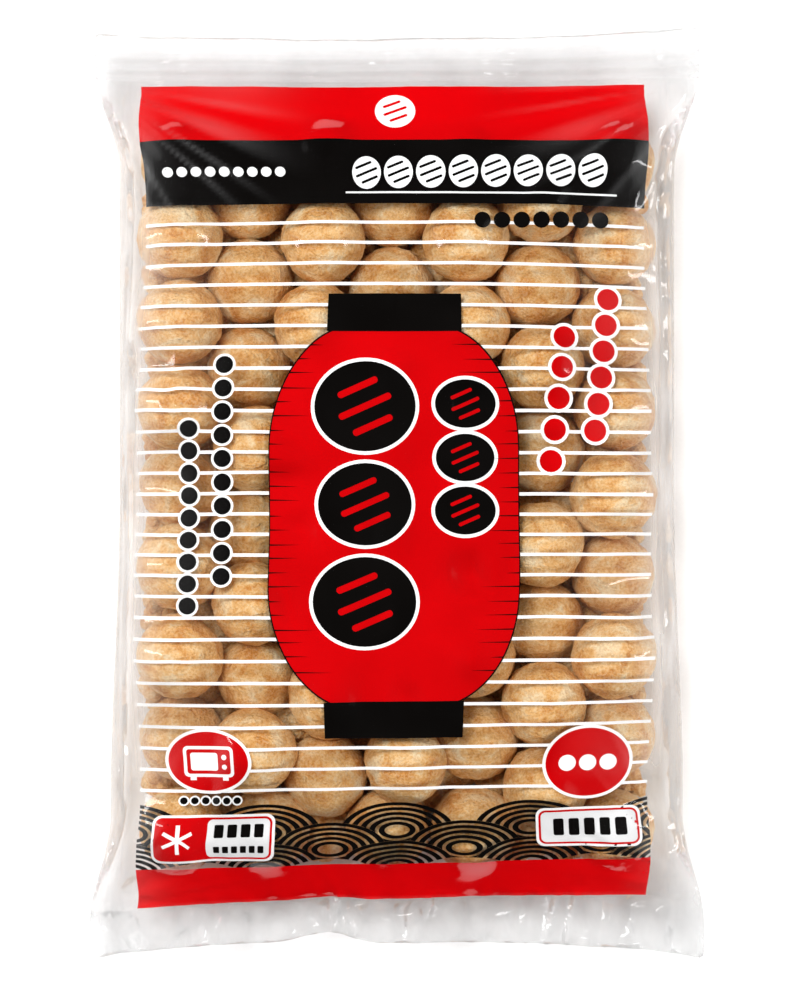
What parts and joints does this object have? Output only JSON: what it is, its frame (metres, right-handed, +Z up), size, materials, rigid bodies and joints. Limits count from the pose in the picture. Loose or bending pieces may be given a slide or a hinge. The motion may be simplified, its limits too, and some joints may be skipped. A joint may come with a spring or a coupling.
{
  "type": "bag of frozen takoyaki",
  "caption": "Clear sealed pillow bag of frozen takoyaki balls, lying flat, with a red and black paper lantern, white stripes and wave scales printed on its film.",
  "frame": {"origin": "middle of the underside, under the centre of the bag's outline, on the surface that the bag lies on", "axes": "+X across the bag to the print's right, +Y along the bag to the top of the print, +Z up out of the printed side"},
  "size_m": [0.2454, 0.3724, 0.047],
  "materials": {
    "film": "clear glossy film, crinkled and slightly milky",
    "takoyaki": "fried batter, golden brown with paler patches and a faint sheen",
    "red_ink": "glossy printed ink",
    "black_ink": "glossy printed ink",
    "white_ink": "glossy printed ink"
  },
  "bodies": {
    "root": {"bag": "film"}
  },
  "joints": []
}
